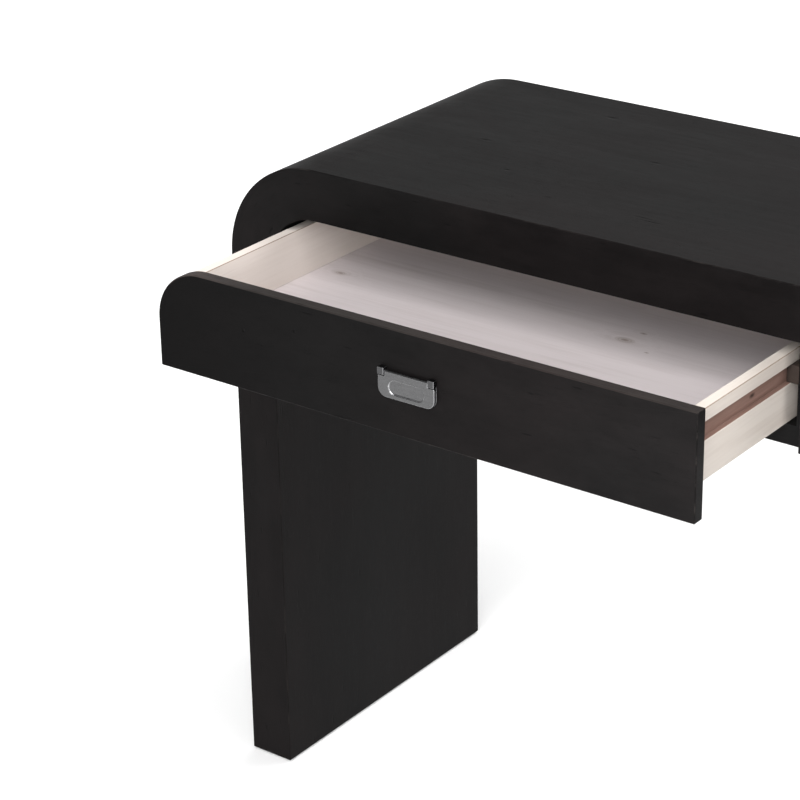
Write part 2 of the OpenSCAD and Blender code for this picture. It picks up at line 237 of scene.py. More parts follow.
def limed_wood(name, light=(0.66, 0.60, 0.545), dark=(0.50, 0.43, 0.38), knots=()):
    """Pine under a thin white wash: pale streaks, with the grain bent round any knots.

    knots are (along, across, depth, radius) in grain coordinates, in metres."""
    s = Shader(name, Roughness=0.62, Specular_IOR_Level=0.3)
    grain = s.grain()
    near = None  # how far the nearest knot is, in its own radii
    for *centre, radius in knots:
        away = s.math("DIVIDE", s.distance(grain, centre, (0.55, 1.0, 0.0)), radius)
        near = away if near is None else s.math("MINIMUM", near, away)

    bent = s.stretched(grain, 1.3, 13.0)
    if knots:
        swirl = s.math("MULTIPLY", s.remap(near, 5.0, 0.8), 0.9)
        push = s.node("ShaderNodeCombineXYZ", [(1, swirl), (2, swirl)]).outputs[0]
        bent = s.vector("ADD", bent, push)
    figure = s.noise(bent, detail=5.0, roughness=0.6, distortion=0.8)
    streaks = s.noise(s.stretched(grain, 6.0, 170.0), detail=6.0, roughness=0.6)
    wash = s.noise(s.stretched(grain, 5.0, 9.0), detail=3.0, roughness=0.6)
    middle = tuple(0.5 * (a + b) for a, b in zip(light, dark))
    tone = s.total((figure, 0.6), (streaks, 0.4))
    colour = s.ramp(tone, (0.32, dark), (0.50, light), (0.68, middle))
    colour = s.mix(s.remap(wash, 0.35, 0.7, 0.0, 0.4), colour, times(light, 1.06))
    if knots:
        rings = s.remap(s.math("SINE", s.math("MULTIPLY", near, 17.0)), -1.0, 1.0, 0.55, 1.0)
        rings = s.math("MULTIPLY", s.remap(near, 1.5, 0.9), rings)
        colour = s.mix(s.math("MULTIPLY", rings, 0.5), colour, KNOT_RINGS)
        colour = s.mix(s.math("MULTIPLY", s.remap(near, 0.55, 0.30), 0.5), colour, KNOT_HEART)

    s.feed(Base_Color=colour, Roughness=s.remap(streaks, 0.3, 0.7, 0.56, 0.70))
    s.bump(streaks, 0.12 * MM, 0.7)
    return s.material


def raw_wood(name, dark, light, grain_axis=None, pin_knots=False):
    """Unfinished wood: brown streaks, dull, with small dark pin knots if asked for."""
    s = Shader(name, Roughness=0.7, Specular_IOR_Level=0.25)
    grain = s.grain(grain_axis)
    figure = s.noise(s.stretched(grain, 4.0, 60.0), detail=6.0, roughness=0.65, distortion=0.5)
    fibre = s.noise(s.stretched(grain, 22.0, 500.0), roughness=0.6)
    colour = s.ramp(s.total((figure, 0.7), (fibre, 0.3)), (0.30, dark), (0.70, light))
    if pin_knots:
        inputs = [("Vector", s.stretched(grain, 14.0, 30.0)), ("Scale", 1.0)]
        cells = s.node("ShaderNodeTexVoronoi", inputs).outputs["Distance"]
        colour = s.mix(s.remap(cells, 0.10, 0.045), colour, times(dark, 0.25))
    s.feed(Base_Color=colour, Roughness=s.remap(fibre, 0.3, 0.7, 0.62, 0.78))
    s.bump(fibre, 0.1 * MM, 0.7)
    return s.material


def brushed_metal(name, colour, roughness, brushing=(60.0, 60.0, 2500.0), worn=None):
    """Metal with fine brush lines and a little mottling.

    brushing is the lines' scale along each axis, worn the colour that its arrises have rubbed to."""
    s = Shader(name, Metallic=1.0, Roughness=roughness)
    place = s.place()
    lines = s.noise(s.vector("MULTIPLY", place, brushing), detail=3.0)
    mottle = s.noise(place, scale=220.0, roughness=0.6)
    shade = s.remap(s.total((lines, 0.5), (mottle, 0.5)), 0.3, 0.7, 0.84, 1.14)
    tint = s.scale(colour, shade)
    if worn:
        rubbed = s.math("MULTIPLY", s.attribute("wear"), s.remap(mottle, 0.3, 0.6, 0.7, 1.0))
        tint = s.mix(rubbed, tint, worn)
    uneven = s.remap(mottle, 0.3, 0.7, roughness - 0.05, roughness + 0.07)
    s.feed(Base_Color=tint, Roughness=uneven)
    s.bump(lines, 0.02 * MM, 0.5)
    return s.material


def moulded_plastic(name, colour):
    """Dark moulded plastic with a fine spark-eroded texture."""
    s = Shader(name, Roughness=0.5, Specular_IOR_Level=0.4)
    texture = s.noise(s.place(), scale=1800.0, detail=2.0)
    tint = s.ramp(texture, (0.3, times(colour, 0.85)), (0.7, times(colour, 1.2)))
    s.feed(Base_Color=tint, Roughness=s.remap(texture, 0.3, 0.7, 0.42, 0.58))
    s.bump(texture, 0.03 * MM, 0.5)
    return s.material


# ---------------------------------------------------------------- mesh helpers

NARROW = 0.8 * MM  # a face narrower than this is part of a rounded arris
SHARP_ANGLE = math.radians(38)  # an edge that bends more than this is shaded sharp
EDGE_SHARE = 0.45  # the most of an edge that one rounded corner may take up
MITRE_LIMIT = 0.3  # keeps a sharp corner's inset from running away
END_STEPS = 4  # rings round an eased end, and points round an eased corner, less one
DISC_STEPS = 48


class Shape:
    """Vertices, faces, materials and attributes of one piece, before its mesh is made."""

    def __init__(self, grain_axis="X", grain_shift=(0.0, 0.0, 0.0)):
        self.verts, self.faces, self.mats, self.grain, self.worn = [], [], [], [], []
        self.order = GRAIN_ORDER[grain_axis]
        self.shift = grain_shift

    def ring(self, points, grain=None, worn=None):
        """Adds the points and returns their numbers. Grain follows their places, and wear the
        widths of their faces, unless given."""
        start = len(self.verts)
        self.verts += [tuple(p) for p in points]
        self.worn += [worn] * len(points)
        if grain is None:
            grain = [tuple(p[o] + s for o, s in zip(self.order, self.shift)) for p in points]
        self.grain += grain
        return list(range(start, start + len(points)))

    def loft(self, rings, mats=None):
        """Skins a row of closed rings with four-sided faces and closes both ends.

        mats holds a material number for each edge of a ring."""
        n = len(rings[0])
        mats = mats or [0] * n
        for a, b in zip(rings, rings[1:]):
            for i in range(n):
                j = (i + 1) % n
                self.faces.append((a[i], a[j], b[j], b[i]))
                self.mats.append(mats[i])
        for ring in (rings[0], rings[-1]):
            self.faces.append(tuple(ring))
            self.mats.append(0)

    def wear(self, mesh):
        """1 for a vertex on a rounded arris, where every face is narrow, and 0 elsewhere."""
        wear = [1.0] * len(self.verts)
        for face in mesh.polygons:
            corners = [Vector(self.verts[i]) for i in face.vertices]
            longest = max((a - b).length for a, b in zip(corners, corners[1:] + corners[:1]))
            if face.area / longest > NARROW:
                for i in face.vertices:
                    wear[i] = 0.0
        return [found if given is None else given for found, given in zip(wear, self.worn)]

    def build(self, name, materials, body, nodes):
        """Makes the object, smooth but for its sharp edges, and rides it in place of the nodes."""
        mesh = bpy.data.meshes.new(name)
        mesh.from_pydata(self.verts, [], self.faces)
        for material in materials:
            mesh.materials.append(material)
        mesh.polygons.foreach_set("material_index", self.mats)
        grain = mesh.attributes.new("grain", "FLOAT_VECTOR", "POINT")
        grain.data.foreach_set("vector", [c for g in self.grain for c in g])
        mesh.attributes.new("wear", "FLOAT", "POINT").data.foreach_set("value", self.wear(mesh))
        turn_outward(mesh)
        mesh.shade_smooth()
        mesh.set_sharp_from_angle(angle=SHARP_ANGLE)
        piece = bpy.data.objects.new(name, mesh)
        bpy.context.collection.objects.link(piece)
        even_shading(piece)
        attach(piece, body)
        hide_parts(*nodes)
        return piece


def turn_outward(mesh):
    """Turns every face's normal outward."""
    bm = bmesh.new()
    bm.from_mesh(mesh)
    bmesh.ops.recalc_face_normals(bm, faces=bm.faces)
    bm.to_mesh(mesh)
    bm.free()


def even_shading(piece):
    """Shades flat faces flat up to their rounded edges."""
    weighted = piece.modifiers.new("even shading", "WEIGHTED_NORMAL")
    weighted.keep_sharp = True


def quarter_turn(steps):
    """Angles from 0 to a right angle, in radians, both ends included."""
    return [math.radians(90 * k / steps) for k in range(steps + 1)]


def arc(cx, cy, radius, start, end, steps):
    """Points of an arc, angles in degrees, both ends included."""
    angles = [math.radians(start + (end - start) * i / steps) for i in range(steps + 1)]
    return [(cx + radius * math.cos(a), cy + radius * math.sin(a)) for a in angles]


def eased_rect(x0, y0, x1, y1, ease):
    """Outline of a rectangle with its corners rounded, anticlockwise from the lower left."""
    return (
        arc(x0 + ease, y0 + ease, ease, 180, 270, END_STEPS)
        + arc(x1 - ease, y0 + ease, ease, 270, 360, END_STEPS)
        + arc(x1 - ease, y1 - ease, ease, 0, 90, END_STEPS)
        + arc(x0 + ease, y1 - ease, ease, 90, 180, END_STEPS)
    )


def rounded(start, corner, end, steps):
    """Points that round a corner off, from start to end."""
    shares = [k / steps for k in range(steps + 1)]
    return [tuple((1 - t) ** 2 * start + 2 * t * (1 - t) * corner + t * t * end) for t in shares]


def corners_of(points):
    """(point before, point, point after) for each point of a closed outline, as vectors."""
    n = len(points)
    for i in range(n):
        yield tuple(Vector(points[(i + k) % n]) for k in (-1, 0, 1))


def eased_outline(points, ease, steps):
    """A polygon's outline, listed anticlockwise, with each corner rounded to about that radius."""
    out = []
    for before, here, after in corners_of(points):
        a, b = (before - here), (after - here)
        reach = min(ease, EDGE_SHARE * a.length, EDGE_SHARE * b.length)
        out += rounded(here + a.normalized() * reach, here, here + b.normalized() * reach, steps)
    return out


def inset(points, distance):
    """The outline moved inward by a distance small enough to keep every point."""
    out = []
    for before, here, after in corners_of(points):
        a, b = (here - before).normalized(), (after - here).normalized()
        na, nb = Vector((-a.y, a.x)), Vector((-b.y, b.x))
        out.append(tuple(here + (na + nb) * (distance / max(MITRE_LIMIT, 1 + na.dot(nb)))))
    return out


# Puts the point p of an outline at the place a along the named axis
TO_SPACE = {
    "X": lambda p, a: (a, p[0], p[1]),
    "Y": lambda p, a: (p[0], a, p[1]),
    "Z": lambda p, a: (p[0], p[1], a),
}


def eased_ends(a0, a1, ease):
    """(place along the axis, inset) pairs that round both end edges of an extrusion."""
    turn = quarter_turn(END_STEPS)
    low = [(a0 + ease * (1 - math.cos(t)), ease * (1 - math.sin(t))) for t in turn]
    return low + [(a0 + a1 - a, i) for a, i in reversed(low)]


def extrude(shape, outline, axis, a0, a1, ease, mats=None):
    """Adds an outline extruded along an axis, with its end edges rounded."""
    rings = [
        shape.ring([TO_SPACE[axis](p, a) for p in inset(outline, i)])
        for a, i in eased_ends(a0, a1, ease)
    ]
    shape.loft(rings, mats)


def turned(shape, centre, axis, profile):
    """Adds a turned solid: profile is (radius, place along the axis) pairs, with flat ends."""
    angles = [2 * math.pi * k / DISC_STEPS for k in range(DISC_STEPS)]
    x, y = centre
    rings = []
    for radius, along in profile:
        circle = [(x + radius * math.cos(a), y + radius * math.sin(a)) for a in angles]
        rings.append(shape.ring([TO_SPACE[axis](p, along) for p in circle], worn=0.0))
    shape.loft(rings)


# ---------------------------------------------------------------- materials

# Knocks on the top: x and y in metres, and half sizes along them in millimetres
TOP_KNOCKS = (
    (-0.4986, 0.0894, 9, 3), (-0.4225, 0.0200, 5, 2.5), (-0.2251, -0.0239, 15, 1.4),
    (-0.2132, -0.0298, 17, 1.4), (-0.3047, 0.1275, 8, 3), (-0.4261, 0.2321, 9, 4),
    (0.1830, 0.0610, 10, 2.5), (0.3720, 0.2030, 7, 3), (0.5150, -0.0320, 13, 1.5),
)
# Knocks on the drawer fronts: x and z in metres
FRONT_KNOCKS = ((-0.5371, 0.6529), (-0.4703, 0.6682))
FRONT_KNOCK_R, KNOCK_DEPTH = 2.2, 5

top_face = CAD_BOX[1][2]
front_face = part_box("left_drawer_front")[0][1]

VENEER = black_veneer("black_stained_veneer")
TOP_VENEER = black_veneer(
    "black_stained_top",
    knocks=[knock((x, y, top_face), half_x, half_y, KNOCK_DEPTH)
            for x, y, half_x, half_y in TOP_KNOCKS],
)
# The fronts: painted shade at their outer ends, 0.35 times the stain, and painted light towards the
# middle, 1.45 times
FRONT_VENEER = black_veneer(
    "black_stained_front_painted_shading", painted_light_ramp=(0.66, 0.0, 0.35, 1.45),
    knocks=[knock((x, front_face, z), FRONT_KNOCK_R, KNOCK_DEPTH, FRONT_KNOCK_R)
            for x, z in FRONT_KNOCKS],
)
# The edge band up to twice as light near the round end of each front: a painted highlight
FRONT_EDGE = black_veneer(
    "black_stained_edge_band_painted_highlight", stain=((0.015, 0.0135, 0.013), (0.033, 0.029, 0.027)),
    painted_light_ramp=(0.61, 0.52, 2.0, 1.0),
)
DARK_BOARD_X = black_veneer("dark_stained_board_x", "X")
DARK_BOARD_Y = black_veneer("dark_stained_board_y", "Y")
LIMED = limed_wood("limed_board")
# One limed wood in two copies: lighter for the outer side boards, painted light, and darker for the
# inner ones, painted shade
LIMED_SIDE_LIT_AND_SHADED = {
    "outer": limed_wood("limed_outer_side_painted_light", (0.74, 0.67, 0.62), (0.56, 0.48, 0.43)),
    "inner": limed_wood("limed_inner_side_painted_shade", (0.60, 0.545, 0.495), (0.455, 0.39, 0.345)),
}
BROWN_ARRIS = raw_wood("brown_upper_arris", (0.20, 0.15, 0.115), (0.36, 0.29, 0.23))
GROOVE = raw_wood("raw_groove", (0.17, 0.098, 0.076), (0.32, 0.20, 0.165), pin_knots=True)
RUNNER = raw_wood("waxed_runner", (0.020, 0.014, 0.011), (0.045, 0.032, 0.026), grain_axis="Y")
BEECH = raw_wood("beech_dowel", (0.42, 0.28, 0.16), (0.60, 0.43, 0.26), grain_axis="Y")
PEWTER = brushed_metal("pewter_pull", (0.118, 0.118, 0.120), 0.28, worn=(0.42, 0.42, 0.43))
# The plate and lugs: the flap's pewter made darker, painted shade
PEWTER_SHADED = brushed_metal("pewter_plate_painted_shade", (0.075, 0.075, 0.077), 0.32, worn=(0.34, 0.34, 0.35))
ZINC = brushed_metal("zinc_screw", (0.55, 0.56, 0.58), 0.34)
PIN_STEEL = brushed_metal("steel_pin", (0.42, 0.42, 0.43), 0.3, brushing=(30.0, 1500.0, 1500.0))
NYLON = moulded_plastic("nylon_glide", (0.03, 0.03, 0.03))

# ---------------------------------------------------------------- the shell

top_low, top_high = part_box("top_panel")
corner_low, corner_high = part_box("left_corner")
leg_low, leg_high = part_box("left_leg")
HALF = -leg_low[0]
LEG_T = leg_high[0] - leg_low[0]
TOP_T = top_high[2] - top_low[2]
FOOT_Z = leg_low[2]
SEAM_Z = corner_low[2]
TOP_Z = top_high[2]
OUTER_R = corner_high[0] - corner_low[0]
INNER_R = OUTER_R - LEG_T
ARC_X = HALF - OUTER_R
OUTER_Z = TOP_Z - OUTER_R
INNER_Z = TOP_Z - TOP_T - INNER_R
SHELL_Y0, SHELL_Y1 = top_low[1], top_high[1]
SHELL_EASE = 1.2 * MM
LEAST_EASE = 0.01 * MM  # keeps the points of a fully shrunk corner apart
ARC_STEPS = 40
# Lengths along the outer face: of the straight leg, of the arc, and from foot to mid-top
STRAIGHT = OUTER_Z - FOOT_Z
ARC_LEN = OUTER_R * math.pi / 2
SWEEP = STRAIGHT + ARC_LEN + ARC_X


def arch_stations(part):
    """(outer point, inner point, length along the outer face) of a part of the arch's left half."""
    if part == "leg":
        return [((-HALF, z), (LEG_T - HALF, z), z - FOOT_Z) for z in (FOOT_Z, SEAM_Z)]
    if part == "top":
        return [((x, TOP_Z), (x, TOP_Z - TOP_T), SWEEP + x) for x in (-ARC_X, 0.0, ARC_X)]
    stations = [((-HALF, SEAM_Z), (LEG_T - HALF, SEAM_Z), SEAM_Z - FOOT_Z)]
    outer = arc(-ARC_X, OUTER_Z, OUTER_R, 180, 90, ARC_STEPS)
    inner = arc(-ARC_X, INNER_Z, INNER_R, 180, 90, ARC_STEPS)
    for i, (p, q) in enumerate(zip(outer, inner)):
        stations.append((p, q, STRAIGHT + ARC_LEN * i / ARC_STEPS))
    return stations


def arch_piece(node, part, mirror=False):
    """One slab of the arch: an eased rectangle swept along its stations, grain along the sweep."""
    shape = Shape()
    stations = arch_stations(part)
    thick = TOP_T if part == "top" else LEG_T
    rings = []

    def add(outer, inner, length, shrink=0.0):
        """Adds the section between an outer and an inner point, smaller all round by shrink."""
        ease = SHELL_EASE + LEAST_EASE - shrink
        section = eased_rect(shrink, SHELL_Y0 + shrink, thick - shrink, SHELL_Y1 - shrink, ease)
        points, grain = [], []
        for depth, y in section:
            f = depth / thick
            x = outer[0] + (inner[0] - outer[0]) * f
            z = outer[1] + (inner[1] - outer[1]) * f
            points.append((-x if mirror else x, y, z))
            grain.append((2 * SWEEP - length if mirror else length, y, depth))
        rings.append(shape.ring(points, grain))

    if part == "leg":  # its foot is eased, and its other end meets the corner
        outer, inner, length = stations.pop(0)
        for t in quarter_turn(END_STEPS):
            up, shrink = SHELL_EASE * (1 - math.cos(t)), SHELL_EASE * (1 - math.sin(t))
            add((outer[0], outer[1] + up), (inner[0], inner[1] + up), length + up, shrink)
    for station in stations:
        add(*station)
    shape.loft(rings)
    material = TOP_VENEER if part == "top" else VENEER
    return shape.build(node + "_veneered", [material], "table", [node])


arch_piece("top_panel", "top")
for side in SIDES:
    arch_piece(side + "_corner", "corner", mirror=side == "right")
    arch_piece(side + "_leg", "leg", mirror=side == "right")

# ---------------------------------------------------------------- drawers

FRONT_EASE, FRONT_ARC_STEPS = 1.2 * MM, 32
SIDE_EASE, SIDE_END_EASE, SIDE_STEPS = 0.7 * MM, 0.3 * MM, 3
BOTTOM_EASE, BACK_EASE = 0.4 * MM, 0.7 * MM
RUNNER_PLAY = 0.3 * MM  # above and below a runner in its groove

# Knots on a drawer's bottom: from its inner end, from its front edge, and radius
KNOTS = (
    (0.210, 0.235, 5.0 * MM), (0.203, 0.260, 2.0 * MM), (0.174, 0.219, 1.2 * MM),
    (0.568, 0.218, 3.5 * MM),
)


def drawer_front(side):
    """Front panel: its outer upper corner is round, its face carries painted shade and light along
    the table, and its upper edge band shows lighter, with a painted highlight towards the round end.
    """
    low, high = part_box(side + "_drawer_front")
    radius = INNER_R - (TOP_Z - TOP_T - high[2])
    inner, upper, lower = high[0] - low[0] - FRONT_EASE, high[2] - FRONT_EASE, low[2] + FRONT_EASE
    # The outline over the top, down and back, by its distance from the outer end
    profile = (
        arc(radius, high[2] - radius, radius, 180, 90, FRONT_ARC_STEPS)
        + arc(inner, upper, FRONT_EASE, 90, 0, END_STEPS)
        + arc(inner, lower, FRONT_EASE, 0, -90, END_STEPS)
        + arc(FRONT_EASE, lower, FRONT_EASE, 270, 180, END_STEPS)
    )
    if side == "left":
        outline = [(low[0] + out, z) for out, z in reversed(profile)]
    else:
        outline = [(high[0] - out, z) for out, z in profile]
    mats = []
    for (x0, z0), (x1, z1) in zip(outline, outline[1:] + outline[:1]):
        run, rise = abs(x1 - x0), abs(z1 - z0)
        if run > rise and z0 > high[2] - radius:
            mats.append(1)
        else:
            mats.append(2 if rise > high[2] - low[2] - 3 * FRONT_EASE else 0)
    shape = Shape("X", (0.0, 0.3 if side == "left" else 0.9, 0.2))
    extrude(shape, outline, "Y", low[1], high[1], FRONT_EASE, mats)
    materials = [FRONT_VENEER, FRONT_EDGE, VENEER]
    return shape.build(side + "_drawer_front_panel", materials, side + "_drawer",
                       [side + "_drawer_front"])


def drawer_side(side, which, shift):
    """Side board: a groove outside for the runner, one inside for the bottom, a brown upper arris on
    the +X side.
    """
    node = f"{side}_drawer_{which}_side"
    low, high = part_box(node)
    base_low, base_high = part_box(side + "_drawer_bottom")
    runner_low, runner_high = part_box(f"{side}_bay_{which}_runner")
    runner_on_left = (which == "outer") == (side == "left")
    # The notches in the board's two faces: lower edge, upper edge and depth
    runner = (runner_low[2] - RUNNER_PLAY, runner_high[2] + RUNNER_PLAY, (high[0] - low[0]) / 2)
    base_depth = high[0] - base_low[0] if runner_on_left else base_high[0] - low[0]
    base = (base_low[2], base_high[2], base_depth)
    left, right = (runner, base) if runner_on_left else (base, runner)
    left_floor, right_floor = low[0] + left[2], high[0] - right[2]
    outline = [
        (low[0], low[2]), (high[0], low[2]),
        (high[0], right[0]), (right_floor, right[0]), (right_floor, right[1]), (high[0], right[1]),
        (high[0], high[2]), (low[0], high[2]),
        (low[0], left[1]), (left_floor, left[1]), (left_floor, left[0]), (low[0], left[0]),
    ]
    # Numbers of corners in the outline, each of which becomes that many points when eased
    first_of_floor, first_of_top = 9 if runner_on_left else 3, 6
    per_corner = SIDE_STEPS + 1
    eased = eased_outline(outline, SIDE_EASE, SIDE_STEPS)
    mats = [0] * len(eased)
    for i in range(first_of_floor * per_corner - 1, (first_of_floor + 2) * per_corner):
        mats[i] = 1
    # The upper arris on the +X side is brown
    for i in range(first_of_top * per_corner, first_of_top * per_corner + SIDE_STEPS):
        mats[i] = 2
    shape = Shape("Y", shift)
    extrude(shape, eased, "Y", low[1], high[1], SIDE_END_EASE, mats)
    materials = [LIMED_SIDE_LIT_AND_SHADED[which], GROOVE, BROWN_ARRIS]
    return shape.build(f"{node}_board", materials, side + "_drawer", [node])


def limed_panel(side, part, ease, material, shift):
    """Back or bottom of a drawer: a board with its grain along the table."""
    node = f"{side}_drawer_{part}"
    low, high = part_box(node)
    shape = Shape("X", shift)
    extrude(shape, eased_rect(low[1], low[2], high[1], high[2], ease), "X", low[0], high[0], ease)
    return shape.build(f"{node}_board", [material], side + "_drawer", [node])


def bottom_wood(side, shift):
    """Limed wood with its knots in the grain coordinates of that drawer's bottom."""
    base_low, base_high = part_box(side + "_drawer_bottom")
    inner_end, outward = (base_high[0], -1) if side == "left" else (base_low[0], 1)
    knots = [
        (inner_end + outward * x + shift[0], base_low[1] + y + shift[1], 0.0, radius)
        for x, y, radius in KNOTS
    ]
    return limed_wood(side + "_limed_bottom", (0.64, 0.58, 0.585), (0.52, 0.46, 0.455), knots)


# The shifts give each board a figure of its own
for number, side in enumerate(SIDES):
    drawer_front(side)
    drawer_side(side, "outer", (0.21 + number, 0.4, 0.1))
    drawer_side(side, "inner", (0.83 + number, 0.7, 0.5))
    shift = (0.4 * number, 0.3 * number, 0.0)
    limed_panel(side, "bottom", BOTTOM_EASE, bottom_wood(side, shift), shift)
    limed_panel(side, "back", BACK_EASE, LIMED, (0.1, 0.55 + number, 0.3))

# ---------------------------------------------------------------- pulls

PULL_R, PULL_STEPS = 10 * MM, 16  # lower corners of the flap and the plate
FLAP_EASE, BARREL_EASE = 0.55 * MM, 0.4 * MM
SHOULDER, SHOULDER_EASE, SHOULDER_STEPS = 4.9 * MM, 0.6 * MM, 3
DISH_LEN, DISH_R, DISH_DEPTH, DISH_STEPS = 44 * MM, 8 * MM, 1.4 * MM, 24
LIP, LIP_STEPS = 0.35 * MM, 4  # rounded lip of the dish
WALL, WALL_STEPS = 1.8 * MM, 6  # the dish's wall, which turns into its floor
CENTRE_LIFT = 12 * MM  # of the dish and the bosses, above the pull's lower edge
LUG, LUG_GAP, LUG_EASE = 7.5 * MM, 0.5 * MM, 0.5 * MM
PLATE_T, PLATE_EASE = 1.2 * MM, 0.3 * MM
BOSS_REACH, BOSS_R = 22 * MM, 4 * MM
PARALLEL, SLACK = 1e-12, 1e-6  # tolerances of on_ray


def on_ray(polygon, centre, angle):
    """Where a ray from the centre leaves a polygon that surrounds it."""
    direction = Vector((math.cos(angle), math.sin(angle)))
    best = None
    for i in range(len(polygon)):
        a, b = Vector(polygon[i]) - centre, Vector(polygon[(i + 1) % len(polygon)]) - centre
        edge = b - a
        cross = direction.x * edge.y - direction.y * edge.x
        if abs(cross) < PARALLEL:
            continue
        far = (a.x * edge.y - a.y * edge.x) / cross
        along = (a.x * direction.y - a.y * direction.x) / cross
        if far > 0 and -SLACK <= along <= 1 + SLACK and (best is None or far > best):
            best = far
    return tuple(centre + direction * best)


def angles_of(points, centre=(0.0, 0.0)):
    """Directions of the points from the centre, rounded so that equal ones merge."""
    return {round(math.atan2(y - centre[1], x - centre[0]), 5) for x, y in points}


def pin_height(side):
    low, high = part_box(side + "_pull_pin")
    return (low[2] + high[2]) / 2


def pull_foot(low, high):
    """The round lower corners of the flap or the plate, from left to right."""
    return (
        arc(low[0] + PULL_R, low[2] + PULL_R, PULL_R, 180, 270, PULL_STEPS)
        + arc(high[0] - PULL_R, low[2] + PULL_R, PULL_R, 270, 360, PULL_STEPS)
    )


def flap_outline(low, high, axis_z, neck):
    """Flap: round lower corners, and a narrower neck between the lugs, anticlockwise."""
    x0, x1, shoulder_z = low[0], high[0], axis_z - SHOULDER
    mid = (x0 + x1) / 2
    left, right = Vector((x0, shoulder_z)), Vector((x1, shoulder_z))
    across, down = Vector((SHOULDER_EASE, 0)), Vector((0, -SHOULDER_EASE))
    return (
        pull_foot(low, high)
        + rounded(right + down, right, right - across, SHOULDER_STEPS)
        + [(mid + neck / 2, shoulder_z), (mid + neck / 2, axis_z)]
        + [(mid - neck / 2, axis_z), (mid - neck / 2, shoulder_z)]
        + rounded(left + across, left, left + down, SHOULDER_STEPS)
    )


def pull_flap(side):
    """Hinged flap: an eased slab with a thumb dish in its face and a round top edge on the pin."""
    node = side + "_pull_flap"
    low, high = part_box(node)
    y_front, y_back, axis_z = low[1], high[1], pin_height(side)
    neck = (high[0] - low[0]) - 2 * (LUG + LUG_GAP)
    outline = flap_outline(low, high, axis_z, neck)
    centre = Vector(((low[0] + high[0]) / 2, low[2] + CENTRE_LIFT))
    dish = (
        arc(centre.x + DISH_LEN / 2 - DISH_R, centre.y, DISH_R, -90, 90, DISH_STEPS)
        + arc(centre.x - DISH_LEN / 2 + DISH_R, centre.y, DISH_R, 90, 270, DISH_STEPS)
    )
    angles = sorted(angles_of(outline + dish, centre))
    shape = Shape("X")

    def ring(polygon, y, worn):
        points = [(x, y, z) for x, z in (on_ray(polygon, centre, a) for a in angles)]
        return shape.ring(points, worn=1.0 if worn else 0.0)

    # The back, the edge, the face, the lip, the wall and the floor: one row of rings
    rings = [
        ring(inset(outline, i), y, y_front < y < y_back)
        for y, i in reversed(eased_ends(y_front, y_back, FLAP_EASE))
    ]
    for k, t in enumerate(quarter_turn(LIP_STEPS)[1:]):
        y = y_front + LIP * (1 - math.cos(t))
        rings.append(ring(inset(dish, -LIP * (1 - math.sin(t))), y, k > 0))
    for k, t in enumerate(quarter_turn(WALL_STEPS)[1:]):
        y = y_front + LIP + (DISH_DEPTH - LIP) * math.sin(t)
        rings.append(ring(inset(dish, WALL * (1 - math.cos(t))), y, k < WALL_STEPS / 2))
    shape.loft(rings)

    radius = (y_back - y_front) / 2
    end0, end1 = centre.x - neck / 2, centre.x + neck / 2
    turned(shape, (y_front + radius, axis_z), "X", [
        (radius - BARREL_EASE, end0), (radius, end0 + BARREL_EASE),
        (radius, end1 - BARREL_EASE), (radius - BARREL_EASE, end1),
    ])
    return shape.build(node + "_cast", [PEWTER], side + "_flap", [node])


def pull_plate(side):
    """Fixed plate with the two lugs that hold the pin, and the bosses behind it."""
    node = side + "_pull_plate"
    low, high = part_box(node)
    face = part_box(side + "_drawer_front")[0][1]
    axis_z = pin_height(side)
    shape = Shape("X")
    outline = pull_foot(low, high) + [(high[0], axis_z), (low[0], axis_z)]
    extrude(shape, outline, "Y", face - PLATE_T, face, PLATE_EASE)
    for x in (low[0], high[0] - LUG):
        block = eased_rect(x, axis_z - LUG / 2, x + LUG, axis_z + LUG / 2, LUG_EASE)
        extrude(shape, block, "Y", low[1], face, LUG_EASE)
    mid = (low[0] + high[0]) / 2
    for x in (mid - BOSS_REACH, mid + BOSS_REACH):
        boss = [(BOSS_R, face - PLATE_T / 2), (BOSS_R, high[1])]
        turned(shape, (x, low[2] + CENTRE_LIFT), "Y", boss)
    return shape.build(node + "_cast", [PEWTER_SHADED], side + "_drawer", [node])


for side in SIDES:
    pull_flap(side)
    pull_plate(side)

# ---------------------------------------------------------------- CAD nodes that stay

WELD_REACH, BOARD_EASE, BEVEL_ANGLE = 0.01 * MM, 0.4 * MM, math.radians(50)
KEPT = {
    DARK_BOARD_X: ["bottom_board", "back_panel"],
    DARK_BOARD_Y: ["centre_partition", "left_inner_side", "right_inner_side"],
    RUNNER: [f"{side}_bay_{which}_runner" for side in SIDES for which in ("outer", "inner")],
    BEECH: ["shell_dowels"] + [side + "_drawer_dowels" for side in SIDES],
    PIN_STEEL: [side + "_pull_pin" for side in SIDES],
}
for material, nodes in KEPT.items():
    for node in nodes:
        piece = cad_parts[node]
        for slot in piece.material_slots:
            slot.material = material
        weld = piece.modifiers.new("weld", "WELD")
        weld.merge_threshold = WELD_REACH
        bevel = piece.modifiers.new("eased edges", "BEVEL")
        bevel.width, bevel.segments = BOARD_EASE, 2
        bevel.limit_method, bevel.angle_limit = "ANGLE", BEVEL_ANGLE
        even_shading(piece)

# ---------------------------------------------------------------- screws and glides

GRID = 1e5  # vertices that agree to a hundredth of a millimetre are taken as one
SHANK_R = 2 * MM
CONE = 2 * MM  # length of a countersunk head's cone, and of the point
RECESS_DEPTH, RECESS_ARM, RECESS_HALF = 0.45, 0.55, 0.15  # shares of the head's radius
SCREW_STEPS, SCREW_TURN = 40, 0.02  # points round a screw, turned off the recess's corners
PAN_HEAD_T = 2.6 * MM
# A pan head: share of the head's radius, and millimetres below its top
PAN_HEAD = ((0.62, 0.0), (0.80, 0.12), (0.93, 0.32), (1.0, 0.62), (1.0, 2.55))
